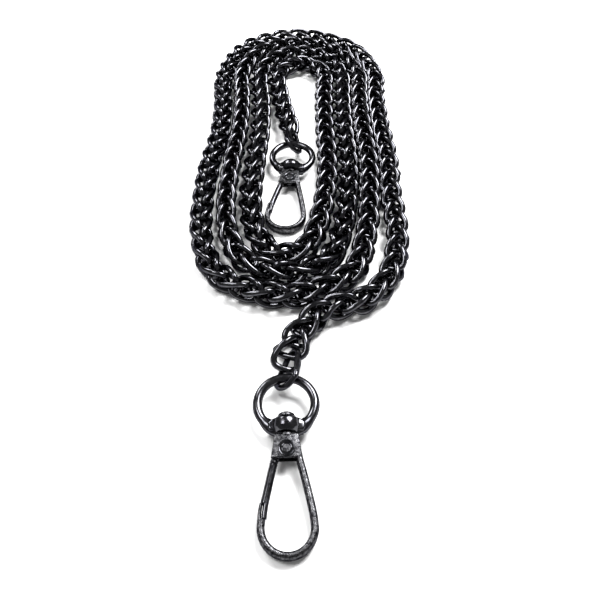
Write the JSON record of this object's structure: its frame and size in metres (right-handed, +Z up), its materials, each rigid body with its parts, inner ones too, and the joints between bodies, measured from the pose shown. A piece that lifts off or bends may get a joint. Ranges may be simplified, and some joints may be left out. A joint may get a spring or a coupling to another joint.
{
  "type": "chain lanyard",
  "caption": "Woven metal chain lanyard laid in an oval coil, with a swivel snap hook on a ring at each end.",
  "frame": {"origin": "centre of the bounding box's bottom face, on the surface that the lanyard lies on", "axes": "+Y along the coil's long side, away from the hook that lies outside the coil; +Z up; +X to the right seen from that hook"},
  "size_m": [0.0624, 0.2048, 0.0068],
  "materials": {
    "black_nickel": "bright black nickel plate",
    "cast_black_nickel": "black nickel plate over a slightly rough casting",
    "spring_steel": "drawn spring wire"
  },
  "bodies": {
    "chain": {"chain_far_lead": "black_nickel", "chain_lap_1_top": "black_nickel", "chain_lap_1_right": "black_nickel", "chain_lap_1_bottom": "black_nickel", "chain_lap_1_left": "black_nickel", "chain_lap_2_top": "black_nickel", "chain_lap_2_right": "black_nickel", "chain_lap_2_bottom": "black_nickel", "chain_lap_2_left": "black_nickel", "chain_lap_3_top": "black_nickel", "chain_lap_3_right": "black_nickel", "chain_lap_3_bottom": "black_nickel", "chain_lap_3_left": "black_nickel", "chain_lap_4_top": "black_nickel", "chain_lap_4_right": "black_nickel", "chain_near_lead": "black_nickel", "near_last_loop": "black_nickel", "far_last_loop": "black_nickel"},
    "near_link": {"near_end_link": "black_nickel"},
    "near_ring": {"near_swivel_ring": "black_nickel"},
    "near_hook": {"near_hook_body": "cast_black_nickel", "near_gate_rivet": "black_nickel", "near_gate_spring": "spring_steel"},
    "near_gate": {"near_gate": "black_nickel"},
    "far_link": {"far_end_link": "black_nickel"},
    "far_ring": {"far_swivel_ring": "black_nickel"},
    "far_hook": {"far_hook_body": "cast_black_nickel", "far_gate_rivet": "black_nickel", "far_gate_spring": "spring_steel"},
    "far_gate": {"far_gate": "black_nickel"}
  },
  "joints": [
    {"name": "near_link_swing", "type": "hinge", "parent": "chain", "child": "near_link", "pos_m": [-0.00146, -0.05693, 0.00346], "axis": [0.9397, -0.342, 0], "range_deg": [-60, 60]},
    {"name": "near_ring_tilt", "type": "hinge", "parent": "near_link", "child": "near_ring", "pos_m": [-0.00271, -0.06363, 0.00394], "axis": [0.9997, 0.0262, 0], "range_deg": [-75, 75]},
    {"name": "near_swivel", "type": "hinge", "parent": "near_ring", "child": "near_hook", "pos_m": [-0.0024, -0.0753, 0.0032], "axis": [-0.0261, 0.9977, 0.0628], "continuous": true},
    {"name": "near_gate_hinge", "type": "hinge", "parent": "near_hook", "child": "near_gate", "pos_m": [-0.00226, -0.08064, 0.00286], "axis": [0.0016, -0.0628, 0.998], "range_deg": [0, 28], "stiffness_Nm_per_rad": 0.02, "springref_deg": -28.65, "deforming": ["near_gate_spring"]},
    {"name": "far_link_swing", "type": "hinge", "parent": "chain", "child": "far_link", "pos_m": [-0.00249, 0.03229, 0.00346], "axis": [0.9848, 0.1736, 0], "range_deg": [-60, 60]},
    {"name": "far_ring_tilt", "type": "hinge", "parent": "far_link", "child": "far_ring", "pos_m": [-0.00148, 0.02555, 0.00394], "axis": [0.9976, -0.0698, 0], "range_deg": [-75, 75]},
    {"name": "far_swivel", "type": "hinge", "parent": "far_ring", "child": "far_hook", "pos_m": [-0.0023, 0.0139, 0.0032], "axis": [0.0696, 0.9956, 0.0628], "continuous": true},
    {"name": "far_gate_hinge", "type": "hinge", "parent": "far_hook", "child": "far_gate", "pos_m": [-0.00267, 0.00857, 0.00286], "axis": [-0.0044, -0.0626, 0.998], "range_deg": [0, 28], "stiffness_Nm_per_rad": 0.02, "springref_deg": -28.65, "deforming": ["far_gate_spring"]}
  ]
}
